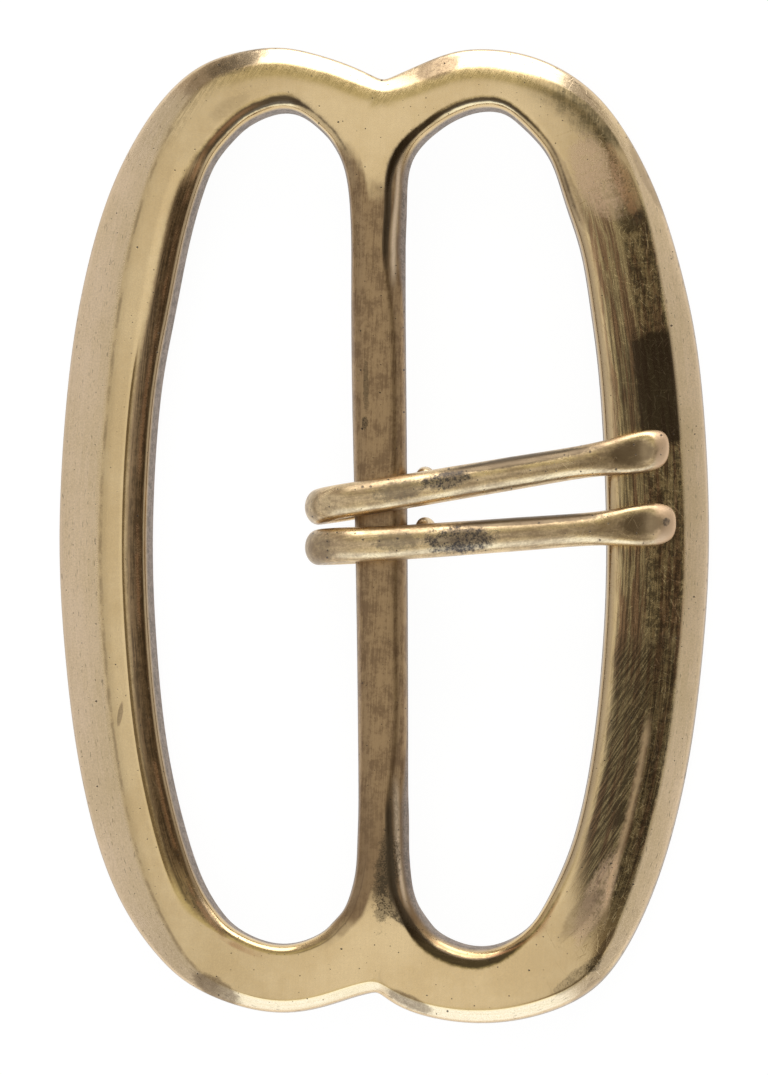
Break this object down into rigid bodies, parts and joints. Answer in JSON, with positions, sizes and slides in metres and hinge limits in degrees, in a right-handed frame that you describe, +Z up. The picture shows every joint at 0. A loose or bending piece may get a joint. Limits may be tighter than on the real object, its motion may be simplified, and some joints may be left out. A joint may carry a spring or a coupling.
{
  "type": "double prong buckle",
  "caption": "Solid brass belt buckle with an oval, notched, gently arched frame, a centre bar and hinged tongues for a wide strap.",
  "frame": {"origin": "middle of the buckle in plan, on the surface it rests on", "axes": "+Z up out of the front face, +Y along the centre bar, +X across the buckle, the way the prongs point"},
  "size_m": [0.06, 0.0899, 0.011],
  "materials": {
    "frame_brass": "worn polished brass with brushed bevels, fine scratches and tarnish",
    "prong_brass": "worn cast brass, tarnished in the hollows and bright on the edges"
  },
  "bodies": {
    "frame": {"frame": "frame_brass"},
    "prong_upper": {"prong_upper": "prong_brass"},
    "prong_lower": {"prong_lower": "prong_brass"}
  },
  "joints": [
    {"name": "prong_upper_swing", "type": "hinge", "parent": "frame", "child": "prong_upper", "pos_m": [0, 0.0032, 0.00565], "axis": [0, -1, 0], "range_deg": [0, 175]},
    {"name": "prong_lower_swing", "type": "hinge", "parent": "frame", "child": "prong_lower", "pos_m": [0, -0.0012, 0.00565], "axis": [0, -1, 0], "range_deg": [0, 175]}
  ]
}
